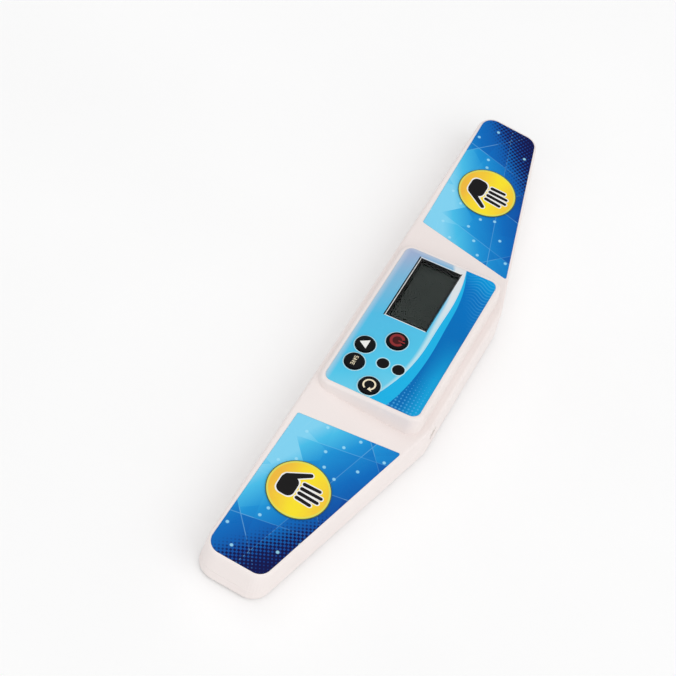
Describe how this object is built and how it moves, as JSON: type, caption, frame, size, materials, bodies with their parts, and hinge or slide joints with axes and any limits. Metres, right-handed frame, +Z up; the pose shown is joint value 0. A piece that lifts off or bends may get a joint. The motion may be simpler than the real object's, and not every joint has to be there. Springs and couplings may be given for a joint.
{
  "type": "speed cube timer",
  "caption": "Long two-armed stopwatch timer with a touch pad on each arm and a raised tilted console with a display, round keys and indicator windows.",
  "frame": {"origin": "on the table under the middle of the body, bottom centre of the bounding box", "axes": "+X to the user's right along the arms, +Y away from the user, +Z up"},
  "size_m": [0.28, 0.058, 0.0298],
  "materials": {
    "white_plastic": "fine satin moulded ABS, warm white",
    "console_film": "printed glossy polycarbonate film",
    "pad_film": "printed glossy polycarbonate film",
    "clear_window": "clear acrylic",
    "black_plastic": "satin black moulded plastic",
    "lcd_grey": "blank grey-green display glass",
    "dark_rubber": "silicone with carbon layers",
    "key_black": "glossy black plastic",
    "switch_plastic": "nylon",
    "smoked_lens": "dark smoked acrylic",
    "led_resin": "tinted epoxy",
    "circuit_board": "green solder mask",
    "black_epoxy": "cured epoxy blob",
    "component_mix": "small electronic parts",
    "sheet_metal": "thin sheet",
    "wire_red": "vinyl insulation",
    "wire_black": "vinyl insulation",
    "cell_wrap": "steel can in printed wrap",
    "contact_steel": "nickel-plated spring steel",
    "screw_steel": "zinc-plated",
    "foot_rubber": "soft rubber"
  },
  "bodies": {
    "housing": {"upper_shell": "white_plastic", "lower_shell": "white_plastic", "console_overlay": "console_film", "left_pad_overlay": "pad_film", "right_pad_overlay": "pad_film", "display_window": "clear_window", "lcd_bezel": "black_plastic", "lcd_glass": "lcd_grey", "lcd_contact_strips": "dark_rubber", "switch_bodies": "black_plastic", "indicator_lenses": "smoked_lens", "status_leds": "led_resin", "main_board": "circuit_board", "controller_chip": "black_epoxy", "board_components": "component_mix", "left_touch_plate": "sheet_metal", "right_touch_plate": "sheet_metal", "left_touch_lead": "wire_red", "right_touch_lead": "wire_red", "battery_cells": "cell_wrap", "battery_bridge_contact": "contact_steel", "battery_end_contacts": "contact_steel", "battery_leads": "wire_black", "data_jack": "black_plastic", "jack_leads": "contact_steel", "case_screws": "screw_steel", "board_screws": "screw_steel", "rubber_feet": "foot_rubber"},
    "power_key_body": {"power_key": "key_black", "power_plunger": "switch_plastic"},
    "select_key_body": {"select_key": "key_black", "select_plunger": "switch_plastic"},
    "save_key_body": {"save_key": "key_black", "save_plunger": "switch_plastic"},
    "reset_key_body": {"reset_key": "key_black", "reset_plunger": "switch_plastic"},
    "door": {"battery_door": "white_plastic"}
  },
  "joints": [
    {"name": "power_key_press", "type": "slide", "parent": "housing", "child": "power_key_body", "axis": [0, 0.1435, -0.9897], "range_m": [0, 0.0006], "stiffness_N_per_m": 2500},
    {"name": "select_key_press", "type": "slide", "parent": "housing", "child": "select_key_body", "axis": [0, 0.1435, -0.9897], "range_m": [0, 0.0006], "stiffness_N_per_m": 2500},
    {"name": "save_key_press", "type": "slide", "parent": "housing", "child": "save_key_body", "axis": [0, 0.1435, -0.9897], "range_m": [0, 0.0006], "stiffness_N_per_m": 2500},
    {"name": "reset_key_press", "type": "slide", "parent": "housing", "child": "reset_key_body", "axis": [0, 0.1435, -0.9897], "range_m": [0, 0.0006], "stiffness_N_per_m": 2500},
    {"name": "battery_door_swing", "type": "hinge", "parent": "housing", "child": "door", "pos_m": [-0.0323, 0.008, 0.0008], "axis": [0, 1, 0], "range_deg": [0, 95]}
  ]
}
